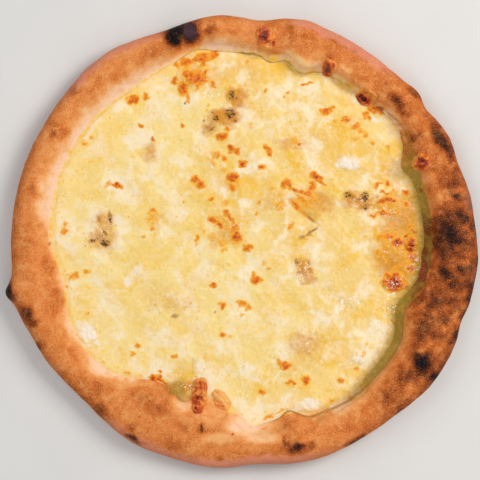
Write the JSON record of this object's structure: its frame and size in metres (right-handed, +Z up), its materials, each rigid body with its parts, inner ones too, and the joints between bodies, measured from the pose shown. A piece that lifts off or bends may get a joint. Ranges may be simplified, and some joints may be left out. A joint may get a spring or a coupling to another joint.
{
  "type": "four cheese pizza",
  "caption": "Whole round pizza with a puffed, scorched rim round a well of melted, spotted cheese that holds lumps of blue, soft white and fried cheese.",
  "frame": {"origin": "on the flat underside, at the middle of the outline's bounding box", "axes": "+Z up out of the cheese, +X to the picture's right, +Y to the picture's top"},
  "size_m": [0.33, 0.3168, 0.0252],
  "materials": {
    "crust": "dry, floury baked dough, browned and scorched in places",
    "melted_cheese": "melted, oily sheen",
    "blue_cheese": "melted, with dark green veins",
    "soft_cheese": "soft, moist white",
    "fried_cheese": "fried to a bubbly glossy crust"
  },
  "bodies": {
    "root": {"crust": "crust", "melted_cheese": "melted_cheese", "blue_cheese_1": "blue_cheese", "blue_cheese_2": "blue_cheese", "blue_cheese_3": "blue_cheese", "blue_cheese_4": "blue_cheese", "blue_cheese_5": "blue_cheese", "blue_cheese_6": "blue_cheese", "soft_cheese_1": "soft_cheese", "soft_cheese_2": "soft_cheese", "soft_cheese_3": "soft_cheese", "soft_cheese_4": "soft_cheese", "soft_cheese_5": "soft_cheese", "soft_cheese_6": "soft_cheese", "fried_cheese_1": "fried_cheese", "fried_cheese_2": "fried_cheese", "fried_cheese_3": "fried_cheese", "fried_cheese_4": "fried_cheese", "rim_cheese_1": "fried_cheese", "rim_cheese_2": "fried_cheese", "rim_cheese_3": "fried_cheese", "rim_cheese_4": "fried_cheese", "rim_cheese_5": "fried_cheese", "rim_cheese_6": "fried_cheese"}
  },
  "joints": []
}
